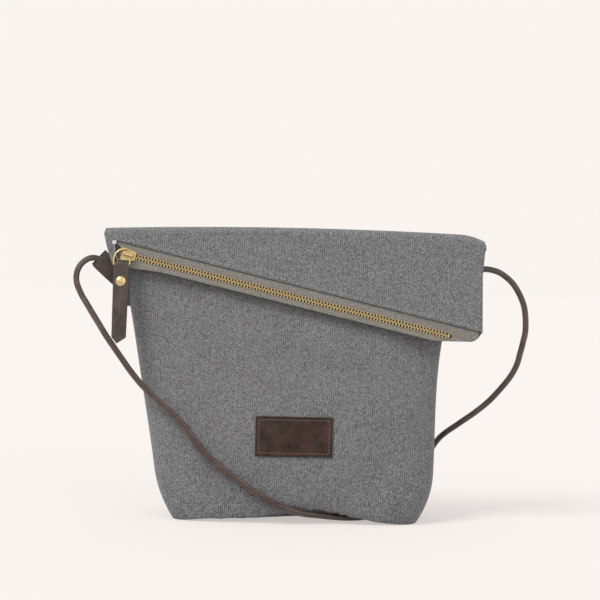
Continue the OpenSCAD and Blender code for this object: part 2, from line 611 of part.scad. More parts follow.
// the strap follows the tabs, the height and the depth when the sizes change
function share(z, from, to) = clamp01((z - from) / (to - from));
function route_at(i) = let (p = strap_route[min(len(strap_route) - 1, max(0, i))])
    [p.x * mix(1, grow_w, share(p.z, 100, 160)), p.y * mix(grow_d, 1, share(p.z, 60, 200)),
        p.z * mix(1, grow_z, share(p.z, 20, 80))];
function curve(a, b, c, d, t) = 0.5 * (2 * b + (c - a) * t + (2 * a - 5 * b + 4 * c - d) * t * t
    + (3 * b - a - 3 * c + d) * t * t * t);
strap_pts = concat([for (i = [0:len(strap_route) - 2])
    let (n = norm(strap_route[i + 1] - strap_route[i]) > 13 ? 2 : 1)
    for (k = [0:n - 1]) curve(route_at(i - 1), route_at(i), route_at(i + 1), route_at(i + 2), k / n)],
    [route_at(len(strap_route) - 1)]);
strap_n = len(strap_pts);
function unit(v) = v / norm(v);
strap_dir = [for (i = [0:strap_n - 1])
    unit(strap_pts[min(strap_n - 1, i + 1)] - strap_pts[max(0, i - 1)])];
strap_side = [for (i = 0, n = unit(cross(strap_dir[0], [0, 1, 0])); i < strap_n;
    i = i + 1, n = unit(n - (n * strap_dir[min(i, strap_n - 1)]) * strap_dir[min(i, strap_n - 1)])) n];
module strap() color(leather_col) placed() {
    c = strap_sides;
    polyhedron(points = [for (i = [0:strap_n - 1]) let (u = strap_side[i], v = cross(strap_dir[i], u))
            for (k = [0:c - 1]) let (a = 360 * k / c)
                strap_pts[i] + strap_d / 2 * (cos(a) * u + sin(a) * v)],
        faces = concat([[for (k = [0:c - 1]) k]],
            [for (i = [0:strap_n - 2]) for (k = [0:c - 1]) let (m = (k + 1) % c)
                each tris(i * c + k, (i + 1) * c + k, (i + 1) * c + m, i * c + m)],
            [[for (k = [c - 1:-1:0]) (strap_n - 1) * c + k]]), convexity = 10);
}

body_front();
body_back();
lining_front();
lining_back();
fold_outer();
fold_inner();
fold_lining_outer();
fold_lining_inner();
flap_outer();
flap_inner();
flap_lining_outer();
flap_lining_inner();
zip_tape_upper();
zip_tape_lower();
zip_teeth_upper();
zip_teeth_lower();
zip_top_stops();
zip_bottom_stop();
slider_body();
slider_bail();
pull_ring();
pull_strip();
rivet_cap();
rivet_post();
bar_tack();
label_patch();
tab_left_front();
tab_left_back();
tab_right_front();
tab_right_back();
strap();
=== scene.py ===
"""Studio scene of a fold-over canvas bag with a slanted brass zip and a rolled leather strap.

The cloth is one loop, swept up the body, round the fold and down the flap. Sizes are millimetres from
the bag's own origin unless said otherwise, and placed() turns them into metres in the frame.
"""

import logging
import math
from collections.abc import Callable
from dataclasses import dataclass, field
from enum import Enum

import bmesh
import bpy
from mathutils import Matrix, Vector


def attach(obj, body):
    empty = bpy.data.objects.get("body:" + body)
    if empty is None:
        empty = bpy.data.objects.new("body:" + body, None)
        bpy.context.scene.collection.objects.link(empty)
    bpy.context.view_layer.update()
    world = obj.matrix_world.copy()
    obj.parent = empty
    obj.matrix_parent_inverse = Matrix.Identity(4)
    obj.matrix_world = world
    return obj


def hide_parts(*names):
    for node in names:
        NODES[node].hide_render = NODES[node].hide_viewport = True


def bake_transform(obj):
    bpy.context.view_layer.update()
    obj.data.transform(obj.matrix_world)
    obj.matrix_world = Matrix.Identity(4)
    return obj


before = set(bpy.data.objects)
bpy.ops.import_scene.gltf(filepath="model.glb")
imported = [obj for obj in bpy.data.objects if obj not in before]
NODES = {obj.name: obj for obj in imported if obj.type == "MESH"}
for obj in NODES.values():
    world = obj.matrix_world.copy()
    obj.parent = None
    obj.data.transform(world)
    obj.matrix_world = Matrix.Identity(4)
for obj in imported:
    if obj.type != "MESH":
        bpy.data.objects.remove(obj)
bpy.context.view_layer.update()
log = logging.getLogger("bag")
logging.basicConfig(level=logging.INFO, format="%(message)s")

MM = 0.001
SHIFT = Vector((0.006, -0.0037, 0.0))
MERGE_METRES = 1e-6
RELIEF_METRES = 0.0002


def mix(a: float, b: float, t: float) -> float:
    """Value t of the way from a to b."""
    return a + (b - a) * t


def clamp01(v: float) -> float:
    """v, held between 0 and 1."""
    return min(1.0, max(0.0, v))


def smooth(v: float) -> float:
    """A smooth step from 0 to 1."""
    v = clamp01(v)
    return v * v * (3 - 2 * v)


def placed(p: Vector) -> Vector:
    """Millimetres from the bag's own origin, as metres in the frame."""
    return p * MM + SHIFT


class Cloth(Enum):
    """The materials of the bag, by name."""

    CANVAS = "grey_canvas"
    LINING = "lining_cloth"
    TAPE = "zip_tape"
    THREAD = "pale_thread"
    TAB = "tab_leather"
    LABEL = "label_leather"
    PULL = "pull_leather"
    STRAP = "strap_leather"
    TEETH = "tooth_brass"
    FITTINGS = "slider_brass"
    HEM_THREAD = "hem_thread"
    LABEL_THREAD = "label_thread"


@dataclass(frozen=True)
class ClothFinish:
    """A woven finish: thread colours, size of a thread and of a streak in metres, relief and sheen."""

    dark: tuple[float, float, float]
    light: tuple[float, float, float]
    thread: float
    streak: float
    bump: float
    sheen: float = 0.15
    sheen_rough: float = 0.6


@dataclass(frozen=True)
class LeatherFinish:
    """A waxed leather finish: colours, roughness, size of the grain in metres, gloss and relief."""

    dark: tuple[float, float, float]
    light: tuple[float, float, float]
    roughness: float
    grain: float
    gloss: float = 0.5
    bump: float = 0.25


@dataclass(frozen=True)
class BrassFinish:
    """A brass finish: clean colour, tarnish colour, how much tarnish there is, and relief."""

    clean: tuple[float, float, float]
    tarnish: tuple[float, float, float]
    roughness: float
    amount: float
    bump: float = 0.1


FINISHES: dict[Cloth, ClothFinish | LeatherFinish | BrassFinish] = {
    Cloth.CANVAS: ClothFinish((0.032, 0.0324, 0.0326), (0.262, 0.262, 0.264), 0.0008, 0.0035, 0.5),
    Cloth.LINING: ClothFinish((0.16, 0.14, 0.12), (0.3, 0.27, 0.23), 0.0006, 0.003, 0.2),
    Cloth.TAPE: ClothFinish((0.12, 0.11, 0.092), (0.28, 0.257, 0.222), 0.0007, 0.0014, 0.3),
    Cloth.THREAD: ClothFinish((0.5, 0.49, 0.47), (0.68, 0.67, 0.65), 0.0004, 0.001, 0.3),
    Cloth.HEM_THREAD: ClothFinish((0.28, 0.27, 0.3), (0.38, 0.37, 0.4), 0.0004, 0.001, 0.3),
    Cloth.LABEL_THREAD: ClothFinish((0.2, 0.105, 0.075), (0.26, 0.15, 0.11), 0.0004, 0.001, 0.3),
    Cloth.TAB: LeatherFinish((0.026, 0.016, 0.012), (0.065, 0.043, 0.034), 0.46, 0.0014),
    Cloth.LABEL: LeatherFinish((0.014, 0.0065, 0.0045), (0.06, 0.033, 0.024), 0.5, 0.0012, 0.22),
    Cloth.PULL: LeatherFinish((0.034, 0.021, 0.017), (0.075, 0.053, 0.045), 0.46, 0.0012),
    Cloth.STRAP: LeatherFinish((0.045, 0.026, 0.018), (0.12, 0.083, 0.065), 0.36, 0.001),
    Cloth.TEETH: BrassFinish((0.46, 0.36, 0.18), (0.09, 0.06, 0.03), 0.34, 0.6),
    Cloth.FITTINGS: BrassFinish((0.6, 0.47, 0.22), (0.2, 0.14, 0.06), 0.24, 0.4),
}
SLOT_OF = {Cloth.HEM_THREAD: Cloth.CANVAS, Cloth.LABEL_THREAD: Cloth.LABEL}


class Graph:
    """A small helper that adds and joins shader nodes."""

    def __init__(self, tree: bpy.types.NodeTree) -> None:
        """Take a node tree over and empty it."""
        self.tree = tree
        self.tree.nodes.clear()

    def add(self, kind: str, **values: object) -> bpy.types.Node:
        """Add a node.

        Args:
            kind: the node's type, without "ShaderNode".
            values: attributes of the node, or inputs named as in the editor with "_" for a space.

        Returns:
            The new node.
        """
        node = self.tree.nodes.new(kind if kind.startswith("Node") else "ShaderNode" + kind)
        for key, value in values.items():
            if hasattr(node, key):
                setattr(node, key, value)
            else:
                self.feed(node.inputs[key.replace("_", " ")], value)
        return node

    def feed(self, socket: bpy.types.NodeSocket, value: object) -> None:
        """Join an output to a socket, or set the socket's value.

        Args:
            socket: the input to feed.
            value: another node's output, a number or a colour.
        """
        if isinstance(value, bpy.types.NodeSocket):
            self.tree.links.new(value, socket)
        elif isinstance(value, tuple) and len(value) == 3 and socket.type == "RGBA":
            socket.default_value = (*value, 1.0)
        else:
            socket.default_value = value

    def ramp(self, factor: object, low: float, high: float) -> bpy.types.NodeSocket:
        """Map low..high to 0..1.

        Args:
            factor: the value to map.
            low: what becomes 0.
            high: what becomes 1.

        Returns:
            The mapped value.
        """
        node = self.add("MapRange")
        self.feed(node.inputs["Value"], factor)
        node.inputs["From Min"].default_value = low
        node.inputs["From Max"].default_value = high
        return node.outputs["Result"]

    def math(self, operation: str, a: object, b: object = 0.0) -> bpy.types.NodeSocket:
        """Combine two numbers.

        Args:
            operation: the Math node's operation.
            a: the first number.
            b: the second number.

        Returns:
            The result.
        """
        node = self.add("Math", operation=operation)
        self.feed(node.inputs[0], a)
        self.feed(node.inputs[1], b)
        return node.outputs[0]

    def weighted(self, *parts: tuple[object, float]) -> bpy.types.NodeSocket:
        """Add values up, each times its share.

        Args:
            parts: each value with its share.

        Returns:
            The sum.
        """
        scaled = [self.math("MULTIPLY", value, share) for value, share in parts]
        total = scaled[0]
        for value in scaled[1:]:
            total = self.math("ADD", total, value)
        return total

    def blend(self, factor: object, a: object, b: object) -> bpy.types.NodeSocket:
        """Mix two colours.

        Args:
            factor: how much of the second colour.
            a: the first colour.
            b: the second colour.

        Returns:
            The mixed colour.
        """
        node = self.add("Mix", data_type="RGBA")
        self.feed(node.inputs["Factor"], factor)
        self.feed(node.inputs[6], a)
        self.feed(node.inputs[7], b)
        return node.outputs[2]

    def choose(self, factor: object, a: bpy.types.NodeSocket,
               b: bpy.types.NodeSocket) -> bpy.types.NodeSocket:
        """Mix two shaders.

        Args:
            factor: how much of the second shader.
            a: the first shader.
            b: the second shader.

        Returns:
            The mixed shader.
        """
        node = self.add("MixShader")
        for socket, value in zip(node.inputs, (factor, a, b)):
            self.feed(socket, value)
        return node.outputs[0]

    def noise(self, vector: object, scale: float, detail: float = 3.0) -> bpy.types.NodeSocket:
        """A noise value.

        Args:
            vector: where it is read.
            scale: how fine it is.
            detail: how many finer layers it has.

        Returns:
            The value.
        """
        node = self.add("TexNoise", Scale=scale, Detail=detail)
        self.feed(node.inputs["Vector"], vector)
        return node.outputs["Fac"]

    def seen_ray(self) -> bpy.types.NodeSocket:
        """Tell what is seen from what only lights.

        Returns:
            1 for rays that the camera, metal or glass sees.
        """
        path = self.add("LightPath")
        shown = self.math("MAXIMUM", path.outputs["Is Camera Ray"], path.outputs["Is Glossy Ray"])
        return self.math("MAXIMUM", shown, path.outputs["Is Transmission Ray"])


COLOURS = {"Dark": ("Color", (0, 0, 0, 1)), "Light": ("Color", (1, 1, 1, 1))}
LOOKS = {"Color": "Color", "Height": "Float", "Roughness": "Float"}


def new_group(name: str, inputs: dict[str, tuple[str, object]]) -> tuple[
        bpy.types.NodeTree, Graph, bpy.types.Node, bpy.types.Node]:
    """Make an empty shader node group with the shared colour inputs and look outputs.

    Args:
        name: the group's name.
        inputs: kind and default of its own inputs by name.

    Returns:
        The group, its graph, its input node and its output node.
    """
    tree = bpy.data.node_groups.new(name, "ShaderNodeTree")
    for label, (kind, default) in {"Vector": ("Vector", None), **inputs, **COLOURS}.items():
        socket = tree.interface.new_socket(label, in_out="INPUT", socket_type="NodeSocket" + kind)
        if default is not None:
            socket.default_value = default
    for label, kind in LOOKS.items():
        tree.interface.new_socket(label, in_out="OUTPUT", socket_type="NodeSocket" + kind)
    graph = Graph(tree)
    return tree, graph, graph.add("NodeGroupInput"), graph.add("NodeGroupOutput")


@dataclass(frozen=True)
class Weave:
    """Woven cloth: crossed threads, each crossing its own shade, with short heathered streaks."""

    streak_across: float = 0.9
    cloud_scale: float = 30.0
    crossings: float = 0.5
    streaks: float = 0.35
    clouds: float = 0.12
    ribs: float = 0.12
    shades: tuple[float, float] = (0.05, 0.8)
    roughs: tuple[float, float] = (-2.0, 1.2)

    def group(self) -> bpy.types.NodeTree:
        """Build the effect.

        Returns:
            Its node group.
        """
        tree, g, entry, out = new_group("weave", {
            "Thread": ("Float", 0.001), "Streak": ("Float", 0.009), "Shade": ("Float", 0.0)})
        split = g.add("SeparateXYZ")
        g.feed(split.inputs[0], entry.outputs["Vector"])
        across = g.math("DIVIDE", split.outputs["X"], entry.outputs["Thread"])
        along = g.math("DIVIDE", split.outputs["Y"], entry.outputs["Thread"])
        cell = g.add("CombineXYZ")
        g.feed(cell.inputs["X"], g.math("FLOOR", across))
        g.feed(cell.inputs["Y"], g.math("FLOOR", along))
        white = g.add("TexWhiteNoise", noise_dimensions="2D")
        g.feed(white.inputs["Vector"], cell.outputs[0])
        crossing = white.outputs["Value"]
        long_way = g.add("CombineXYZ")
        g.feed(long_way.inputs["X"], g.math("MULTIPLY", across, self.streak_across))
        g.feed(long_way.inputs["Y"], g.math("DIVIDE", split.outputs["Y"], entry.outputs["Streak"]))
        streak = g.noise(long_way.outputs[0], 1.0, 1.0)
        cloud = g.noise(entry.outputs["Vector"], self.cloud_scale)
        ribs = g.math("SINE", g.math("MULTIPLY", across, math.pi))
        picks = g.math("SINE", g.math("MULTIPLY", along, math.pi))
        weave = g.math("MULTIPLY", ribs, picks)
        shade = g.weighted((crossing, self.crossings), (streak, self.streaks),
            (g.math("SUBTRACT", cloud, 0.5), self.clouds), (g.math("ADD", weave, ribs), self.ribs))
        # The Shade input darkens the colour: painted shade read from the cloth's attribute.
        shade = g.math("MULTIPLY", g.ramp(shade, *self.shades),
            g.math("SUBTRACT", 1.0, entry.outputs["Shade"]))
        g.feed(out.inputs["Color"], g.blend(shade, entry.outputs["Dark"], entry.outputs["Light"]))
        g.feed(out.inputs["Height"], g.math("ADD", weave, g.math("ADD", streak, crossing)))
        g.feed(out.inputs["Roughness"], g.ramp(streak, *self.roughs))
        return tree


@dataclass(frozen=True)
class Grain:
    """Waxed leather: fine pebbled grain under a cloudy pull-up colour."""

    detail: float = 4.0
    fine_scale: float = 0.7
    cloud_scale: float = 120.0
    clouds: float = 0.7
    fines: float = 0.3
    shades: tuple[float, float] = (0.32, 0.68)
    rough_change: float = 0.3

    def group(self) -> bpy.types.NodeTree:
        """Build the effect.

        Returns:
            Its node group.
        """
        tree, g, entry, out = new_group("leather", {
            "Grain": ("Float", 0.001), "Rough": ("Float", 0.5), "Shade": ("Float", 0.0)})
        scaled = g.add("VectorMath", operation="DIVIDE")
        g.feed(scaled.inputs[0], entry.outputs["Vector"])
        g.feed(scaled.inputs[1], entry.outputs["Grain"])
        cells = g.add("TexVoronoi", Scale=1.0)
        g.feed(cells.inputs["Vector"], scaled.outputs[0])
        fine = g.noise(scaled.outputs[0], self.fine_scale, self.detail)
        cloud = g.noise(entry.outputs["Vector"], self.cloud_scale, self.detail)
        shade = g.weighted((cloud, self.clouds), (fine, self.fines))
        # The Shade input darkens the colour: painted shade in the strap's seam groove.
        shade = g.math("SUBTRACT", g.ramp(shade, *self.shades), entry.outputs["Shade"])
        g.feed(out.inputs["Color"], g.blend(shade, entry.outputs["Dark"], entry.outputs["Light"]))
        g.feed(out.inputs["Height"], g.math("ADD", cells.outputs["Distance"], fine))
        g.feed(out.inputs["Roughness"], g.math("ADD", entry.outputs["Rough"],
            g.math("MULTIPLY", g.math("SUBTRACT", fine, 0.5), self.rough_change)))
        return tree


@dataclass(frozen=True)
class Tarnish:
    """Brass that is darker where hands don't rub it. The reach of a hollow's shade is in metres."""

    spot_scale: float = 900.0
    spot_detail: float = 4.0
    hollow_reach: float = 0.0012
    spots: float = 0.4
    hollows: float = 0.6
    shades: tuple[float, float] = (0.25, 0.75)
    rough_change: float = 0.15

    def group(self) -> bpy.types.NodeTree:
        """Build the effect.

        Returns:
            Its node group.
        """
        tree, g, entry, out = new_group("brass", {"Amount": ("Float", 0.4), "Rough": ("Float", 0.3)})
        spots = g.noise(entry.outputs["Vector"], self.spot_scale, self.spot_detail)
        hollow = g.add("AmbientOcclusion", Distance=self.hollow_reach)
        shade = g.weighted((spots, self.spots), (hollow.outputs["AO"], self.hollows))
        rub = g.math("ADD", g.math("MULTIPLY", g.ramp(shade, *self.shades), entry.outputs["Amount"]),
            g.math("SUBTRACT", 1.0, entry.outputs["Amount"]))
        g.feed(out.inputs["Color"], g.blend(rub, entry.outputs["Dark"], entry.outputs["Light"]))
        g.feed(out.inputs["Height"], spots)
        g.feed(out.inputs["Roughness"], g.math("ADD", entry.outputs["Rough"],
            g.math("MULTIPLY", spots, self.rough_change)))
        return tree


class Wardrobe:
    """Builds each material once and hands it out."""

    def __init__(self) -> None:
        """Build the shared effects."""
        self.groups = {ClothFinish: Weave().group(), LeatherFinish: Grain().group(),
            BrassFinish: Tarnish().group()}
        self.made: dict[Cloth, bpy.types.Material] = {}

    def get(self, cloth: Cloth) -> bpy.types.Material:
        """Hand out a material.

        Args:
            cloth: which one.

        Returns:
            The material, made at its first use.
        """
        if cloth not in self.made:
            self.made[cloth] = self._make(cloth, FINISHES[cloth])
        return self.made[cloth]

    def _make(self, cloth: Cloth, finish: ClothFinish | LeatherFinish | BrassFinish) -> bpy.types.Material:
        """Make a material.

        Args:
            cloth: which one.
            finish: its colours and sizes.

        Returns:
            The new material.
        """
        material = bpy.data.materials.new(cloth.value)
        material.use_nodes = True
        g = Graph(material.node_tree)
        out = g.add("OutputMaterial")
        surface = g.add("BsdfPrincipled")
        g.feed(out.inputs["Surface"], surface.outputs[0])
        where = g.add("TexCoord").outputs["UV" if isinstance(finish, ClothFinish) else "Object"]
        effect = g.add("Group")
        effect.node_tree = self.groups[type(finish)]
        g.feed(effect.inputs["Vector"], where)
        bump = g.add("Bump", Distance=RELIEF_METRES)
        bump.inputs["Strength"].default_value = finish.bump
        if isinstance(finish, BrassFinish):
            dark, light = finish.tarnish, finish.clean
            own = {"Amount": finish.amount, "Rough": finish.roughness}
            plain = {"Metallic": 1.0}
        else:
            dark, light = finish.dark, finish.light
            # This attribute carries painted shade: the dark line under the flap's mouth edge and the
            # strap's seam groove.
            g.feed(effect.inputs["Shade"], g.add("Attribute", attribute_name="hem").outputs["Fac"])
            if isinstance(finish, ClothFinish):
                own = {"Thread": finish.thread, "Streak": finish.streak}
                plain = {"Sheen Weight": finish.sheen, "Sheen Roughness": finish.sheen_rough}
            else:
                own = {"Grain": finish.grain, "Rough": finish.roughness}
                plain = {"Specular IOR Level": finish.gloss}
        for socket, value in {**own, "Dark": dark, "Light": light}.items():
            g.feed(effect.inputs[socket], value)
        for socket, value in plain.items():
            g.feed(surface.inputs[socket], value)
        g.feed(surface.inputs["Base Color"], effect.outputs["Color"])
        g.feed(surface.inputs["Roughness"], effect.outputs["Roughness"])
        g.feed(bump.inputs["Height"], effect.outputs["Height"])
        g.feed(surface.inputs["Normal"], bump.outputs["Normal"])
        return material


def finish_mesh(name: str, bm: bmesh.types.BMesh, material: bpy.types.Material,
                sharp: float = 40.0) -> bpy.types.Object:
    """Turn a bmesh into an object at the origin.

    Args:
        name: the piece's name.
        bm: its shape; freed here.
        material: its finish.
        sharp: edges over this many degrees stay sharp.

    Returns:
        The new object.
    """
    bmesh.ops.recalc_face_normals(bm, faces=bm.faces)
    for face in bm.faces:
        face.smooth = True
    for edge in bm.edges:
        if len(edge.link_faces) == 2 and edge.calc_face_angle(0.0) > math.radians(sharp):
            edge.smooth = False
    mesh = bpy.data.meshes.new(name)
    bm.to_mesh(mesh)
    bm.free()
    mesh.materials.append(material)
    piece = bpy.data.objects.new(name, mesh)
    bpy.context.scene.collection.objects.link(piece)
    log.info("%s: %d faces", name, len(mesh.polygons))
    return piece


def grid_places(bm: bmesh.types.BMesh, columns: int, rows: int) -> dict[
        bmesh.types.BMVert, tuple[int, int]]:
    """Column and row of each point of a fresh grid."""
    return {v: (round((v.co.x + 1) / 2 * columns), round((v.co.y + 1) / 2 * rows)) for v in bm.verts}


UNDER_ROUTE = ((-62, -40, 3.4), (-44, -40, 4.2), (-26, -40, 5.4), (-8, -38, 9), (8, -35, 13.5),
    (22, -31, 12.5), (36, -26, 11), (50, -19, 9.6), (61, -11, 8.6), (70, -1, 8), (77, 10, 7.8),
    (82, 22, 7.8), (86, 34, 7.8), (90, 44, 8.2))


@dataclass(frozen=True)
class Loft:
    """The loop of cloth that the bag is cut from.

    f is a share of the half width, from -1 at the left seam to 1 at the right. t is a share of the
    height. side is 1 for the outer cloth and -1 for the inner. inset is a layer's depth in the cloth.
    """

    fold_z: float = 234.4
    fold_half_w: float = 157.0
    side_half_w: float = 112.0
    base_half_w: float = 101.0
    taper_w: float = 22.0
    tuck_z: float = 40.0
    flare_power: int = 6
    base_depth: float = 75.0
    depth_power: float = 1.5
    bulge: float = 6.0
    bulge_power: float = 0.55
    sway: float = 4.0
    sway_turn: float = 270.0
    base_y: float = 4.0
    fold_y: float = -14.0
    seam_power: float = 2.2
    squareness: float = 5.0
    softening: float = 1.4
    flat_edge: float = 0.0087
    flat_power: int = 6
    canvas_t: float = 1.2
    fold_r: float = 4.2
    lean: float = 8.0
    pair_half_t: float = 2.4
    fold_sag: float = 3.4
    droop_x: float = 135.0
    droop: float = 0.011
    lift_z: float = 45.0
    lift_spread: float = 441.0
    strap_bite: float = 0.05
    chain_drop: float = 51.6
    slant: float = 13.0
    upper_tape: float = 9.3
    lower_tape: float = 6.8
    corner_v: float = 29.9
    left_taper: float = 9.0
    right_taper: float = 3.0
    right_taper_v: float = 30.0
    chain_x: float = 154.0
    corner_f: float = 0.9714
    corner_span: float = 0.0356
    outer_rise: float = 290.0
    inner_rise: float = 12.0
    left_spread: float = 4.7
    spread_s: float = 105.0
    spread_span: float = 43.0
    spread_power: float = 1.3
    bottom_x: float = 144.1
    bottom_gap: float = 0.1
    bow_x: float = 145.0
    bow: float = 0.1

    def half_w(self, t: float) -> float:
        """Half the width of the body.

        Args:
            t: share of the height.

        Returns:
            The half width.
        """
        flare = self.fold_half_w - self.side_half_w - self.taper_w
        tuck = (self.side_half_w - self.base_half_w) * (1 - min(1, t * self.fold_z / self.tuck_z)) ** 2
        return self.side_half_w + self.taper_w * t + flare * t**self.flare_power - tuck

    def half_d(self, t: float) -> float:
        """Half the depth at share t of the height."""
        return (self.pair_half_t + (self.base_depth / 2 - self.pair_half_t) * (1 - t**self.depth_power)
                + self.bulge * math.sin(math.pi * t**self.bulge_power))

    def mid_x(self, t: float) -> float:
        """Where the middle of the loop sways to."""
        return self.sway * math.cos(math.radians(self.sway_turn * t))

    def mid_y(self, t: float) -> float:
        """Depth of the side seams."""
        return mix(self.base_y, self.fold_y + self.fold_r, t**self.seam_power)

    def depth_share(self, f: float, t: float) -> float:
        """How much of the half depth is left.

        Args:
            f: share of the half width.
            t: share of the height.

        Returns:
            1 at the middle, 0 at a seam.
        """
        n = self.squareness - self.softening * math.sin(math.pi * t)
        round_g = max(0.0, 1 - abs(f) ** n) ** (1 / n)
        flat_g = min(1.0, (1 - min(1.0, abs(f))) / self.flat_edge)
        return mix(round_g, flat_g, t**self.flat_power)

    def fold_drop(self, x: float) -> float:
        """How far the fold's top edge lies under its middle."""
        sag = -self.fold_sag * (x / self.fold_half_w) ** 2
        return sag - self.droop * max(0.0, x - self.droop_x) ** 2

    def base_lift(self, x: float, y: float) -> float:
        """How far the strap under the base lifts the cloth.

        Args:
            x: place across.
            y: place in depth.

        Returns:
            The lift.
        """
        lift = max(p[2] * math.exp(-((x - p[0]) ** 2 + (y - p[1]) ** 2) / self.lift_spread)
                   for p in UNDER_ROUTE)
        return max(0.0, lift - self.strap_bite)

    def settle(self, x: float, y: float, z: float, row_z: float) -> Vector:
        """Move a point of the loop as the fold's droop and the strap move it.

        Args:
            x: place across.
            y: place in depth.
            z: height.
            row_z: height of its row before any inset.

        Returns:
            The moved point.
        """
        z += self.fold_drop(x) * (row_z / self.fold_z) ** 4
        z += self.base_lift(x, y) * max(0.0, 1 - row_z / self.lift_z) ** 2
        return Vector((x, y, z))

    def body(self, f: float, t: float, side: int, inset: float) -> Vector:
        """A point on the body's wall."""
        z = t * self.fold_z
        return self.settle(self.mid_x(t) + f * (self.half_w(t) - inset),
            self.mid_y(t) + side * (self.half_d(t) - inset) * self.depth_share(f, t), max(z, inset), z)

    def base(self, f: float, s: float, side: int, inset: float) -> Vector:
        """A point on the base; s runs from its middle line to its edge."""
        return self.settle(self.mid_x(0) + f * (self.half_w(0) - inset),
            self.mid_y(0) + side * s * (self.half_d(0) - inset) * self.depth_share(f, 0), inset, 0.0)

    def radius(self, side: int, inset: float) -> float:
        """Radius of a layer round the fold."""
        return self.fold_r + side * (self.pair_half_t - inset)

    def fold(self, f: float, k: float, side: int, inset: float) -> Vector:
        """A point on the fold.

        Args:
            f: share of the half width.
            k: share of the way from the body to the flap.
            side: which cloth.
            inset: the layer's depth in it.

        Returns:
            The point.
        """
        phi = math.radians((180 - self.lean) * k)
        lean = math.radians(self.lean * k)
        r = self.fold_r + side * (self.pair_half_t - inset) * self.depth_share(f, 1)
        x = f * (self.fold_half_w - inset)
        drop = self.fold_drop(x)
        return Vector((x, self.fold_y + r * math.cos(phi) + drop * math.sin(lean),
                       self.fold_z + r * math.sin(phi) + drop * math.cos(lean)))

    def flap(self, u: float, p: float, w: float) -> Vector:
        """A point in the flap's own frame: across, up it, out of it."""
        a = math.radians(self.lean)
        return Vector((u, self.fold_y + p * math.sin(a) - w * math.cos(a),
                       self.fold_z + p * math.cos(a) + w * math.sin(a)))

    def zip(self, s: float, q: float, w: float) -> Vector:
        """A point in the zip's frame: along the chain, up across it, out of it."""
        a = math.radians(self.slant)
        return self.flap(s * math.cos(a) + q * math.sin(a),
                         -self.chain_drop - s * math.sin(a) + q * math.cos(a), w)

    def chain_v(self, x: float) -> float:
        """How far down the flap the chain lies."""
        return self.chain_drop + x * math.tan(math.radians(self.slant))

    def down(self, d: float) -> float:
        """A distance across the chain, measured down the flap."""
        return d / math.cos(math.radians(self.slant))

    def width(self, f: float, v: float) -> float:
        """Half the flap's width on one side.

        Args:
            f: share of the half width.
            v: distance below the fold.

        Returns:
            The half width.
        """
        if f < 0:
            return self.fold_half_w - self.left_taper * clamp01(v / self.corner_v) ** 1.5
        return self.fold_half_w - self.right_taper * clamp01(v / self.right_taper_v)

    def crossing(self, f: float, c: float) -> float:
        """Where an edge along the chain, c further down, crosses column f."""
        return f * self.width(f, self.chain_v(f * self.chain_x) + c)

    def past_corner(self, f: float) -> float:
        """0 at the flap's left edge, 1 from the zip's end on."""
        return clamp01((f + self.corner_f) / self.corner_span)

    def outer_v(self, f: float) -> float:
        """Length of the outer flap.

        Args:
            f: share of the half width.

        Returns:
            The length below the fold.
        """
        c = -self.down(self.upper_tape)
        line = self.chain_v(self.crossing(f, c)) + c
        return mix(self.corner_v - (1 + f) * self.outer_rise, line, self.past_corner(f))

    def inner_v(self, f: float) -> float:
        """Length of the inner flap.

        Args:
            f: share of the half width.

        Returns:
            The length below the fold.
        """
        x = self.crossing(f, self.lower_tape)
        s = x / math.cos(math.radians(self.slant))
        spread = self.left_spread * clamp01((-self.spread_s - s) / self.spread_span) ** self.spread_power
        bottom = self.chain_v(self.bottom_x) - self.bottom_gap
        line = min(self.chain_v(x) + self.down(self.lower_tape + spread),
                   bottom - self.bow * max(0.0, x - self.bow_x) ** 2)
        return mix(self.corner_v - (1 + f) * self.inner_rise, line, self.past_corner(f))

    def flap_edge(self, f: float, v: float, side: int, inset: float, rise: float) -> Vector:
        """A point on a flap panel, v below the fold and raised by rise."""
        out = self.fold_r + (side * (self.pair_half_t - inset) + rise) * self.depth_share(f, 1)
        return self.flap(f * (self.width(f, v) - inset), -v, out)


LOFT = Loft()


@dataclass(frozen=True)
class Creases:
    """Soft creases and hollows pressed into the body's cloth.

    Each bump is its middle, its two reaches, its turn in degrees and its height.
    """

    bumps: tuple[tuple[float, ...], ...] = (
        (-60, 30, 26, 20, 50, -1.6), (-28, 62, 14, 60, 38, 1.2), (70, 40, 18, 44, -28, -1.4),
        (96, 90, 10, 60, 8, 1.3), (-96, 96, 10, 60, -14, 1.1), (40, 120, 60, 9, -9, -1.1),
        (-70, 150, 12, 46, 24, -1.3), (92, 134, 9, 34, -6, -1.2), (20, 22, 9, 22, -36, 1.0),
        (-100, 20, 9, 26, 30, -1.2), (60, 84, 8, 40, 20, 0.8), (0, 150, 50, 12, -12, 0.9))
    ripple: float = 0.35
    foot_z: float = 14.0
    top_z: float = 225.0
    top_fade: float = 40.0

    def depth(self, x: float, z: float) -> float:
        """How far the cloth stands out.

        Args:
            x: place across.
            z: height.

        Returns:
            The distance out of the smooth wall.
        """
        total = 0.0
        for cx, cz, reach_u, reach_v, turn, height in self.bumps:
            a = math.radians(turn)
            dx, dz = x - cx, z - cz
            u = (dx * math.cos(a) + dz * math.sin(a)) / reach_u
            v = (-dx * math.sin(a) + dz * math.cos(a)) / reach_v
            total += height * math.exp(-u * u - v * v)
        total += self.ripple * math.sin(x / 7.3 + 0.6 * math.sin(z / 21)) * math.sin(z / 37 + x / 60)
        return total * smooth(z / self.foot_z) * smooth((self.top_z - z) / self.top_fade)


CREASES = Creases()


class Reach(Enum):
    """How much of the loop a layer covers."""

    WHOLE = "whole"
    BODY = "body"
    FLAP = "flap"


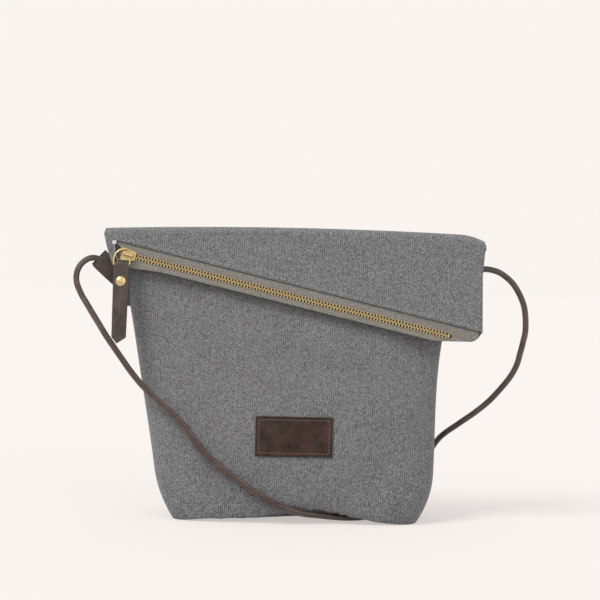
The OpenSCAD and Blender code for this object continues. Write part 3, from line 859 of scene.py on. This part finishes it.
@dataclass
class Panel:
    """One layer of cloth: up the body, round the fold and down the flap.

    opens is the length that the inner cloth gains when the fold is straightened. bend holds two
    shares of the fold's radius and is not used.
    """

    name: str
    side: int
    inset: float
    thick: float
    cloth: Cloth
    reach: Reach
    replaced: tuple[str, ...]
    columns: int = 160
    base_rows: int = 12
    body_rows: int = 90
    fold_rows: int = 16
    flap_rows: int = 34
    column_power: float = 0.7
    row_power: float = 1.3
    back_shift: float = 40.0
    lining_drops: tuple[float, float] = (17.3, 6.8)
    lining_short: float = 2.5
    hem_rows: int = 3
    hem_steps: tuple[float, float] = (0.45, 0.28)
    hem_start: float = 3.15
    hem_rise: float = 1.8
    hem_clear: float = 6.3
    hem_fade: float = 0.4
    # Painted shade: the cloth's last rows at the flap's mouth edge are coloured darker, for the shadow
    # under that edge.
    hem_painted_shades: tuple[float, float, float] = (0.0, 0.25, 0.9)
    opens: float = 8.7
    bend: tuple[float, float] = (0.08, 0.25)

    @property
    def top(self) -> int:
        """The row where the body ends."""
        return self.base_rows + self.body_rows

    @property
    def end(self) -> int:
        """The row of the flap's edge."""
        return self.top + self.fold_rows + self.flap_rows

    def f_of(self, i: float) -> float:
        """Share of the half width for a column."""
        k = 2 * i / self.columns - 1
        return math.copysign(math.sin(math.pi / 2 * abs(k)) ** self.column_power, k) if k else 0.0

    def row(self, f: float, r: int) -> Vector:
        """A point of the layer.

        Args:
            f: share of the half width.
            r: the row, counted from the base's middle line.

        Returns:
            The point.
        """
        if r < self.base_rows:
            return LOFT.base(f, r / self.base_rows, self.side, self.inset)
        if r <= self.top:
            t = ((r - self.base_rows) / self.body_rows) ** self.row_power
            p = LOFT.body(f, t, self.side, self.inset)
            push = CREASES.depth(p.x + (self.back_shift if self.side > 0 else 0), p.z)
            p.y += self.side * push * LOFT.depth_share(f, t)
            return p
        r -= self.top
        if r <= self.fold_rows:
            return LOFT.fold(f, r / self.fold_rows, self.side, self.inset)
        return self.flap_row(f, r - self.fold_rows)

    def flap_row(self, f: float, r: int) -> Vector:
        """A point of the layer on the flap.

        Args:
            f: share of the half width.
            r: the row, counted from the fold.

        Returns:
            The point.
        """
        outer = self.side > 0
        lined = self.cloth is Cloth.LINING
        length = LOFT.outer_v(f) if outer else LOFT.inner_v(f)
        if lined:
            c = -LOFT.down(self.lining_drops[0 if outer else 1])
            longest = LOFT.inner_v(f) - self.lining_short
            length = max(self.lining_short, min(LOFT.chain_v(LOFT.crossing(f, c)) + c, longest))
        top = -LOFT.fold_drop(f * (LOFT.fold_half_w - self.inset))
        left = self.flap_rows - r
        step = self.hem_steps[0 if outer else 1]
        v = length - step * left
        if left > self.hem_rows:
            v = mix(top, length - self.hem_rows * step, r / (self.flap_rows - self.hem_rows))
        rise = 0.0
        if not outer and not lined:
            off_chain = (length - LOFT.chain_v(f * LOFT.width(f, length))) / LOFT.down(1)
            turned = smooth((v - length + self.hem_start * step) / step)
            rise = self.hem_rise * turned * smooth((off_chain - self.hem_clear) / self.hem_fade)
        return LOFT.flap_edge(f, v, self.side, self.inset, rise)

    def flat_places(self, grid: list[list[Vector]]) -> dict[tuple[int, int], tuple[float, float]]:
        """Lay the cloth flat, so that its weave isn't stretched.

        Args:
            grid: the points by column and row.

        Returns:
            Metres across and along the cloth, by column and row.
        """
        middle = self.columns // 2
        opened = self.top + self.fold_rows // 2 + 1
        lengths = [0.0] * (self.columns + 1)
        flat = {}
        for r in range(len(grid[0])):
            across = {middle: grid[middle][r].x}
            for step in (1, -1):
                for i in range(middle + step, middle + step * (middle + 1), step):
                    across[i] = across[i - step] + step * (grid[i][r] - grid[i - step][r]).xy.length
            for i in range(self.columns + 1):
                if r:
                    lengths[i] += (grid[i][r] - grid[i][r - 1]).length
                if self.side < 0 and r == opened:
                    droop = LOFT.fold_drop(self.f_of(i) * LOFT.fold_half_w)
                    lengths[i] += (self.opens - 2 * droop) * MM
            if r <= self.top:
                lengths = [lengths[middle]] * (self.columns + 1)
            for i in range(self.columns + 1):
                flat[i, r] = (across[i], lengths[i])
        return flat

    def build(self, wardrobe: Wardrobe) -> None:
        """Build the layer.

        Args:
            wardrobe: where the material comes from.
        """
        first = self.top if self.reach is Reach.FLAP else 0
        last = self.top if self.reach is Reach.BODY else self.end
        grid = [[placed(self.row(self.f_of(i), r)) for r in range(last + 1)]
                for i in range(self.columns + 1)]
        flat = self.flat_places(grid)
        bm = bmesh.new()
        layer = bm.loops.layers.uv.new("cloth")
        # A layer of painted shade: darker colour along the flap's mouth edge, for the shadow under the
        # cloth's edge.
        hem = bm.verts.layers.float.new("hem")
        bmesh.ops.create_grid(bm, x_segments=self.columns, y_segments=last - first, size=1.0)
        index = {v: (i, first + r) for v, (i, r) in grid_places(bm, self.columns, last - first).items()}
        for v in bm.verts:
            i, r = index[v]
            v.co = grid[i][r]
            v[hem] = self.hem_painted_shades[max(0, 2 + r - self.end)]
        for face in bm.faces:
            for loop in face.loops:
                loop[layer].uv = flat[index[loop.vert]]
        bmesh.ops.remove_doubles(bm, verts=bm.verts, dist=MERGE_METRES)
        piece = finish_mesh(self.name, bm, wardrobe.get(self.cloth), sharp=60)
        probe_row = first + 2 * (last - first) // 3
        probe = grid[self.columns // 2][probe_row]
        nearest = min(piece.data.polygons, key=lambda face: (face.center - probe).length)
        outward = nearest.normal.y * self.side * (1 if probe_row <= self.top else -1) > 0
        solid = piece.modifiers.new("thickness", "SOLIDIFY")
        solid.thickness = self.thick * MM
        solid.offset = -1.0 if outward else 1.0
        solid.use_even_offset = False
        if self.reach is Reach.BODY:
            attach(piece, "body")
        else:
            radius = LOFT.radius(self.side, self.inset) * MM
            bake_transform(piece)
        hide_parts(*self.replaced)


@dataclass
class Softened:
    """A piece that follows a CAD node with its edges rounded. Angles are in degrees."""

    name: str
    node: str
    body: str
    cloth: Cloth
    edge: float
    segments: int = 3
    flat_angle: float = 2.0
    sharp_angle: float = 35.0

    def build(self, wardrobe: Wardrobe, shape: Callable[[Vector], Vector] | None = None) -> None:
        """Build the rounded copy.

        Args:
            wardrobe: where the material comes from.
            shape: an optional last move of each point.
        """
        bm = bmesh.new()
        bm.from_mesh(NODES[self.node].data)
        bmesh.ops.remove_doubles(bm, verts=bm.verts, dist=MERGE_METRES)
        bmesh.ops.dissolve_limit(bm, angle_limit=math.radians(self.flat_angle), verts=bm.verts,
            edges=bm.edges)
        limit = math.radians(self.sharp_angle)
        sharp = [e for e in bm.edges if len(e.link_faces) == 2 and e.calc_face_angle(0.0) > limit]
        bmesh.ops.bevel(bm, geom=sharp, offset=self.edge * MM, offset_type="OFFSET",
            segments=self.segments, profile=0.5, affect="EDGES", clamp_overlap=True, material=-1)
        layer = bm.loops.layers.uv.verify()
        for face in bm.faces:
            for loop in face.loops:
                loop[layer].uv = loop.vert.co.xz
        if shape:
            for v in bm.verts:
                v.co = shape(v.co)
        piece = finish_mesh(self.name, bm, wardrobe.get(self.cloth), sharp=30)
        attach(piece, self.body)
        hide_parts(self.node)
        SLOT_OF.get(self.cloth, self.cloth).value


STRAP_ROUTE = ((-150.6, -5.5, 206.1), (-161, -5.5, 211.5), (-168.6, -5.8, 212.8), (-174.2, -7, 210.2),
    (-178.2, -8.6, 205.6), (-180.3, -10.2, 199), (-179.6, -12, 191.5), (-175.4, -14.5, 182.5),
    (-171, -17, 176), (-165.6, -20, 168), (-159.2, -23.4, 158.8), (-152.8, -26.4, 149.4),
    (-145.6, -29, 139.8), (-138.4, -30.5, 130.2), (-131.2, -31.5, 120.6), (-121, -32.5, 109),
    (-107, -34, 96.4), (-90, -37, 81.4), (-72.6, -40.2, 60), (-56, -42, 46), (-38.8, -43, 33.6),
    (-22, -42.4, 22.6), (-5.6, -40, 14), (8.4, -36, 9.2), (25, -30, 6.6), (42, -23, 4.2),
    (56, -14.5, 3), (67, -4, 2.6), (75, 8, 2.6), (81, 21, 2.6), (86, 34, 2.6), (91, 46, 3),
    (97, 54, 8), (103, 57, 18), (110, 54, 32), (118, 45, 48), (127.5, 32, 65.6), (142, 22, 78.6),
    (154.6, 16, 88.8), (166, 12, 99.2), (175, 10, 109.6), (182.6, 8, 119.8), (188, 7, 130.2),
    (190.6, 6, 140.4), (192.8, 5, 150.4), (194.4, 4, 160.6), (193.4, 3, 175.6), (190.4, 2, 185.6),
    (184.8, 0.5, 195.6), (178.6, -1, 202.4), (170, -3, 208), (160.4, -4.6, 210.4),
    (154.6, -5.3, 209.6), (149.6, -5.5, 206.6), (144.8, -5.5, 201))


@dataclass
class Strap:
    """The rolled leather strap, one cord from tab to tab.

    seams tells how deep a side of the tube is pressed in, as a share of its radius.
    """

    diameter: float = 5.0
    steps: int = 5
    sides: int = 32
    seams: dict[int, float] = field(default_factory=lambda: {
        1: 0.06, 2: 0.14, 3: 0.06, 28: 0.05, 17: 0.12})
    # seam_shade paints shade into the pressed-in seam, darker the deeper it is.
    seam_shade: float = 6.0
    ring_metres: float = 0.002

    def line(self) -> list[Vector]:
        """Draw a smooth line through the route.

        Returns:
            Points along the strap's centre, in the frame.
        """
        pts = [placed(Vector(p)) for p in STRAP_ROUTE]
        line = []
        last = len(pts) - 1
        for i in range(last):
            a, b, c, d = (pts[min(last, max(0, k))] for k in (i - 1, i, i + 1, i + 2))
            for k in range(self.steps):
                t = k / self.steps
                line.append(0.5 * (2 * b + (c - a) * t + (2 * a - 5 * b + 4 * c - d) * t * t
                                   + (3 * b - a - 3 * c + d) * t**3))
        line.append(pts[-1])
        return line

    @staticmethod
    def rings(line: list[Vector]) -> list[tuple[Vector, Vector, Vector]]:
        """Set a ring square to the line at each point, without twisting.

        Args:
            line: points along the strap's centre.

        Returns:
            Centre and two cross directions of each ring.
        """
        last = len(line) - 1
        side = Vector((0.0, -1.0, 0.0))
        rings = []
        for i, p in enumerate(line):
            ahead = (line[min(last, i + 1)] - line[max(0, i - 1)]).normalized()
            side = (side - ahead * side.dot(ahead)).normalized()
            rings.append((p, side.copy(), ahead.cross(side)))
        return rings

    def build(self, wardrobe: Wardrobe) -> None:
        """Args:
            wardrobe: where the material comes from.
        """
        line = self.line()
        rings = self.rings(line)
        bm = bmesh.new()
        layer = bm.loops.layers.uv.new("cloth")
        shade = bm.verts.layers.float.new("hem")
        bmesh.ops.create_grid(bm, x_segments=len(line) - 1, y_segments=self.sides, size=1.0)
        index = grid_places(bm, len(line) - 1, self.sides)
        for v in bm.verts:
            i, k = index[v]
            p, u, w = rings[i]
            a = math.tau * k / self.sides
            depth = self.seams.get(k % self.sides, 0.0)
            v.co = p + (u * math.cos(a) + w * math.sin(a)) * self.diameter / 2 * MM * (1 - depth)
            # Painted shade: the seam groove is coloured darker in step with its depth.
            v[shade] = self.seam_shade * depth
        for face in bm.faces:
            for loop in face.loops:
                i, k = index[loop.vert]
                loop[layer].uv = (k / self.sides, i * self.ring_metres)
        bmesh.ops.remove_doubles(bm, verts=bm.verts, dist=MERGE_METRES)
        bmesh.ops.holes_fill(bm, edges=bm.edges, sides=self.sides + 2)
        piece = finish_mesh("rolled_strap", bm, wardrobe.get(Cloth.STRAP), sharp=50)
        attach(piece, "body")
        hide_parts("strap")


@dataclass
class Stitches:
    """Rows of stitches, each a short rounded thread."""

    name: str
    radius: float
    cloth: Cloth
    body: str

    def build(self, wardrobe: Wardrobe, runs: list[tuple[Vector, Vector]]) -> None:
        """Build the stitches as one piece.

        Args:
            wardrobe: where the material comes from.
            runs: start and end of each stitch, in the frame.
        """
        bm = bmesh.new()
        for a, b in runs:
            d = b - a
            turn = d.to_track_quat("Z", "Y").to_matrix().to_4x4()
            size = Matrix.Diagonal((self.radius * MM, self.radius * MM, d.length / 2, 1))
            bmesh.ops.create_icosphere(bm, subdivisions=1, radius=1.0,
                matrix=Matrix.Translation((a + b) / 2) @ turn @ size)
        piece = finish_mesh(self.name, bm, wardrobe.get(self.cloth), sharp=80)
        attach(piece, self.body)
        SLOT_OF.get(self.cloth, self.cloth).value


@dataclass
class Label:
    """The bare leather label on the front, with stitches just inside its edge."""

    centre: tuple[float, float] = (2.3, 71.0)
    size: tuple[float, float] = (62.6, 32.2)
    thick: float = 1.3
    buried: float = 0.3
    lift: float = 0.12
    edge: float = 0.35
    inset: float = 2.8
    groove: float = 0.28
    groove_w: float = 0.7
    pitch: float = 2.3
    pulled_in: float = 0.1
    thread_r: float = 0.4
    stitch_ends: tuple[float, float] = (0.2, 0.8)
    cells: tuple[int, int] = (60, 32)

    def point(self, x: float, z: float, out: float) -> Vector:
        """A point in front of the front canvas.

        Args:
            x: distance to the right of the label's middle.
            z: distance above it.
            out: distance from the canvas.

        Returns:
            The point, in the frame.
        """
        x, z = x + self.centre[0], z + self.centre[1]
        t = z / LOFT.fold_z
        share = LOFT.depth_share((x - LOFT.mid_x(t)) / LOFT.half_w(t), t)
        front = (LOFT.half_d(t) + CREASES.depth(x, z) + out) * share
        return placed(Vector((x, LOFT.mid_y(t) - front, z)))

    def runs(self, out: float) -> list[tuple[Vector, Vector]]:
        """Lay stitches along all four edges.

        Args:
            out: their distance from the canvas.

        Returns:
            Start and end of each stitch, in the frame.
        """
        runs = []
        half = [self.size[i] / 2 - self.inset for i in (0, 1)]
        for axis in (0, 1):
            count = round(2 * half[axis] / self.pitch)
            for k in range(count):
                for side in (-1, 1):
                    ends = []
                    for share in self.stitch_ends:
                        along = mix(-half[axis], half[axis], (k + share) / count)
                        across = side * half[1 - axis]
                        x, z = (along, across) if axis == 0 else (across, along)
                        ends.append(self.point(x, z, out))
                    runs.append((ends[0], ends[1]))
        return runs

    def build(self, wardrobe: Wardrobe) -> None:
        """Build the label and its stitches.

        Args:
            wardrobe: where the materials come from.
        """
        face_out = self.lift + self.thick
        bm = bmesh.new()
        bmesh.ops.create_grid(bm, x_segments=self.cells[0], y_segments=self.cells[1], size=1.0)
        for v in bm.verts:
            x, z = (v.co[i] * self.size[i] / 2 for i in (0, 1))
            edge = min(self.size[0] / 2 - abs(x), self.size[1] / 2 - abs(z))
            dip = self.groove * math.exp(-((edge - self.inset) / self.groove_w) ** 2)
            v.co = self.point(x, z, face_out - dip)
        piece = finish_mesh("leather_label", bm, wardrobe.get(Cloth.LABEL), sharp=50)
        solid = piece.modifiers.new("thickness", "SOLIDIFY")
        solid.thickness = (self.thick - self.buried) * MM
        solid.offset = -1.0 if piece.data.polygons[0].normal.y < 0 else 1.0
        edges = piece.modifiers.new("edges", "BEVEL")
        edges.width = self.edge * MM
        edges.segments = 3
        edges.limit_method = "ANGLE"
        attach(piece, "body")
        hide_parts("label_patch")
        thread = Stitches("label_stitching", self.thread_r, Cloth.LABEL_THREAD, "body")
        thread.build(wardrobe, self.runs(face_out - self.pulled_in))


@dataclass
class Shell:
    """The bag's cloth: two canvases, their linings, the zip's tapes and the thread tack."""

    lining_t: float = 0.3
    lining_gap: float = 0.2
    tape_edge: float = 0.12
    tack_edge: float = 0.25

    def panels(self) -> list[Panel]:
        """Cut the cloth.

        Returns:
            The canvas layers, then the linings.
        """
        panels = []
        for cloth, inset, thick, parts, rows in (
            (Cloth.CANVAS, 0.0, LOFT.canvas_t, (
                ("back_canvas", 1, Reach.WHOLE, ("body_back", "fold_outer", "flap_outer")),
                ("front_canvas", -1, Reach.BODY, ("body_front",)),
                ("inner_flap_canvas", -1, Reach.FLAP, ("fold_inner", "flap_inner"))), {}),
            (Cloth.LINING, LOFT.canvas_t + self.lining_gap, self.lining_t, (
                ("back_lining", 1, Reach.WHOLE, ("lining_back", "fold_lining_outer", "flap_lining_outer")),
                ("front_lining", -1, Reach.BODY, ("lining_front",)),
                ("inner_flap_lining", -1, Reach.FLAP, ("fold_lining_inner", "flap_lining_inner"))),
                {"base_rows": 4, "body_rows": 30, "flap_rows": 8}),
        ):
            for name, side, reach, nodes in parts:
                panels.append(Panel(name, side, inset, thick, cloth, reach, nodes, **rows))
        return panels

    def build(self, wardrobe: Wardrobe) -> None:
        """Build the cloth.

        Args:
            wardrobe: where the materials come from.
        """
        for panel in self.panels():
            panel.build(wardrobe)
        for side in ("upper", "lower"):
            Softened(f"{side}_tape", f"zip_tape_{side}", "flap", Cloth.TAPE, self.tape_edge,
                     segments=2).build(wardrobe)
        Softened("thread_tack", "bar_tack", "flap", Cloth.THREAD, self.tack_edge).build(wardrobe)


@dataclass
class Brass:
    """Teeth, stops, slider, ring and rivet: the CAD nodes with a finish and softened edges."""

    edges: dict[str, float] = field(default_factory=lambda: {
        "zip_teeth_upper": 0.08, "zip_teeth_lower": 0.08, "zip_top_stops": 0.12, "zip_bottom_stop": 0.2,
        "slider_body": 0.16, "slider_bail": 0.22, "pull_ring": 0.0, "rivet_cap": 0.12, "rivet_post": 0.1})
    sharp_angle: float = 35.0

    def build(self, wardrobe: Wardrobe) -> None:
        """Finish each brass node.

        Args:
            wardrobe: where the materials come from.
        """
        for node, edge in self.edges.items():
            piece = NODES[node]
            piece.data.materials.clear()
            piece.data.materials.append(
                wardrobe.get(Cloth.TEETH if node.startswith("zip") else Cloth.FITTINGS))
            if edge:
                bevel = piece.modifiers.new("edges", "BEVEL")
                bevel.width = edge * MM
                bevel.segments = 2
                bevel.limit_method = "ANGLE"
                bevel.angle_limit = math.radians(self.sharp_angle)
                bevel.harden_normals = False
            for face in piece.data.polygons:
                face.use_smooth = True
            log.info("%s finished", node)


@dataclass
class Leather:
    """The pull with its askew back leaf, the four tab layers and the label."""

    ring_bar: tuple[float, float, float] = (-141.2, -28.1, 9.0)
    pull_edge: float = 0.28
    askew: float = 2.4
    askew_below: float = 15.0
    askew_span: float = 9.0
    leaf_gap: float = 0.02
    tab_edge: float = 0.25

    def build(self, wardrobe: Wardrobe) -> None:
        """Build the leather pieces.

        Args:
            wardrobe: where the materials come from.
        """
        bar = placed(LOFT.flap(*self.ring_bar))
        down = placed(LOFT.flap(0, -1, 0)) - placed(LOFT.flap(0, 0, 0))
        back = placed(LOFT.flap(0, 0, -1)) - placed(LOFT.flap(0, 0, 0))

        def lean_right(co: Vector) -> Vector:
            """Let the short back leaf hang a little to the right below the rivet.

            Args:
                co: a point of the pull.

            Returns:
                The moved point.
            """
            fall = (co - bar).dot(down) / down.length_squared
            behind = (co - bar).dot(back) / back.length_squared
            push = self.askew * MM * smooth((fall - self.askew_below) / self.askew_span)
            return co + Vector((push * clamp01(behind / self.leaf_gap), 0, 0))

        Softened("leather_pull", "pull_strip", "pull", Cloth.PULL, self.pull_edge).build(
            wardrobe, lean_right)
        for side in ("left", "right"):
            for layer in ("front", "back"):
                Softened(f"{side}_tab_{layer}", f"tab_{side}_{layer}", "body", Cloth.TAB,
                         self.tab_edge).build(wardrobe)
        Label().build(wardrobe)


@dataclass
class Stitching:
    """Top stitching beside the zip, and the tack's loose thread end."""

    start: float = -146.0
    stop: float = 151.0
    pitch: float = 3.2
    stitch: float = 2.0
    off_tape: float = 2.6
    thread_r: float = 0.38
    tail: tuple[tuple[float, float], ...] = (
        (-148, -9.8), (-147.8, -13.5), (-147.4, -17), (-146.6, -20.2), (-145.4, -23))
    tail_lift: float = 0.2
    tail_r: float = 0.3

    def build(self, wardrobe: Wardrobe) -> None:
        """Build both threads.

        Args:
            wardrobe: where the materials come from.
        """
        canvas_w = LOFT.radius(1, 0.0)
        q = LOFT.upper_tape + self.off_tape
        runs = []
        s = self.start
        while s < self.stop:
            runs.append((placed(LOFT.zip(s, q, canvas_w)), placed(LOFT.zip(s + self.stitch, q, canvas_w))))
            s += self.pitch
        Stitches("mouth_stitching", self.thread_r, Cloth.HEM_THREAD, "flap").build(wardrobe, runs)
        tail = [placed(LOFT.flap(x, p, canvas_w + self.tail_lift)) for x, p in self.tail]
        Stitches("thread_tail", self.tail_r, Cloth.THREAD, "flap").build(
            wardrobe, list(zip(tail, tail[1:])))


@dataclass(frozen=True)
class Sun:
    """A broad lamp: its strength, its angle across and its turn, in degrees."""

    name: str
    strength: float
    across: float
    turn: tuple[float, float, float]


@dataclass
class Studio:
    """Floor, lights and the photo's camera. Angles are in degrees, lengths in metres."""

    lens: float = 82.19
    sensor: float = 36.0
    far: float = 50.0
    eye: tuple[float, float, float] = (0.00657, -1.147, 0.195)
    yaw: float = 0.214
    pitch: float = -0.6795
    roll: float = 1.2421
    backdrop: tuple[float, float, float] = (0.956, 0.905, 0.871)
    sky: tuple[float, float, float] = (0.98, 0.985, 1.0)
    sky_strength: float = 0.7
    glow: float = 0.55
    floor_light: float = 1.18
    floor_bounce: tuple[float, float, float] = (0.62, 0.6, 0.585)
    floor_reach: float = 30.0
    suns: tuple[Sun, ...] = (
        Sun("key_sun", 1.95, 25, (42, 0, -50)), Sun("fill_sun", 0.4, 50, (66, 0, 40)))

    def camera(self) -> None:
        """Place the camera where the photo was taken from."""
        data = bpy.data.cameras.new("camera")
        data.lens = self.lens
        data.sensor_width = self.sensor
        data.clip_end = self.far
        eye = bpy.data.objects.new("camera", data)
        bpy.context.scene.collection.objects.link(eye)
        yaw, pitch, roll = (math.radians(v) for v in (self.yaw, self.pitch, self.roll))
        forward = Vector(
            (math.sin(yaw) * math.cos(pitch), math.cos(yaw) * math.cos(pitch), math.sin(pitch)))
        right = Vector((math.cos(yaw), -math.sin(yaw), 0.0))
        up = right.cross(forward)
        right, up = (right * math.cos(roll) + up * math.sin(roll),
                     up * math.cos(roll) - right * math.sin(roll))
        turn = Matrix((right, up, -forward)).transposed().to_4x4()
        eye.matrix_world = Matrix.Translation(Vector(self.eye)) @ turn
        bpy.context.scene.camera = eye

    def world(self) -> bpy.types.World:
        """Make a plain sky that lights the bag, and the pale backdrop that is seen.

        Returns:
            The new world.
        """
        world = bpy.data.worlds.new("studio")
        world.use_nodes = True
        g = Graph(world.node_tree)
        out = g.add("OutputWorld")
        sky = g.add("Background", Color=self.sky, Strength=self.sky_strength)
        seen = g.add("Background", Color=self.backdrop, Strength=1.0)
        g.feed(out.inputs["Surface"], g.choose(g.seen_ray(), sky.outputs[0], seen.outputs[0]))
        return world

    def paper(self) -> bpy.types.Material:
        """Make the floor's paper, which glows a little as seen, so that it meets the backdrop.

        Returns:
            The new material.
        """
        paper = bpy.data.materials.new("floor_paper")
        paper.use_nodes = True
        g = Graph(paper.node_tree)
        out = g.add("OutputMaterial")
        seen = g.add("Emission", Color=self.backdrop, Strength=self.glow)
        faint = g.add("BsdfDiffuse",
            Color=tuple(v * (1 - self.glow) / self.floor_light for v in self.backdrop))
        both = g.add("AddShader")
        g.feed(both.inputs[0], seen.outputs[0])
        g.feed(both.inputs[1], faint.outputs[0])
        matt = g.add("BsdfDiffuse", Color=self.floor_bounce)
        g.feed(out.inputs["Surface"], g.choose(g.seen_ray(), matt.outputs[0], both.outputs[0]))
        return paper

    def build(self) -> None:
        """Build floor, sky and lamps."""
        scene = bpy.context.scene
        scene.view_settings.view_transform = "Standard"
        scene.world = self.world()
        bm = bmesh.new()
        bmesh.ops.create_grid(bm, x_segments=1, y_segments=1, size=self.floor_reach)
        staged = [finish_mesh("floor", bm, self.paper())]
        for sun in self.suns:
            data = bpy.data.lights.new(sun.name, "SUN")
            data.energy = sun.strength
            data.angle = math.radians(sun.across)
            lamp = bpy.data.objects.new(sun.name, data)
            lamp.rotation_euler = tuple(math.radians(v) for v in sun.turn)
            scene.collection.objects.link(lamp)
            staged.append(lamp)


def main() -> None:
    """Build the bag and its studio."""
    wardrobe = Wardrobe()
    studio = Studio()
    studio.camera()
    for part in (Strap(), Shell(), Brass(), Leather(), Stitching()):
        part.build(wardrobe)
        log.info("%s done", type(part).__name__)
    studio.build()


if __name__ == "__main__":
    main()
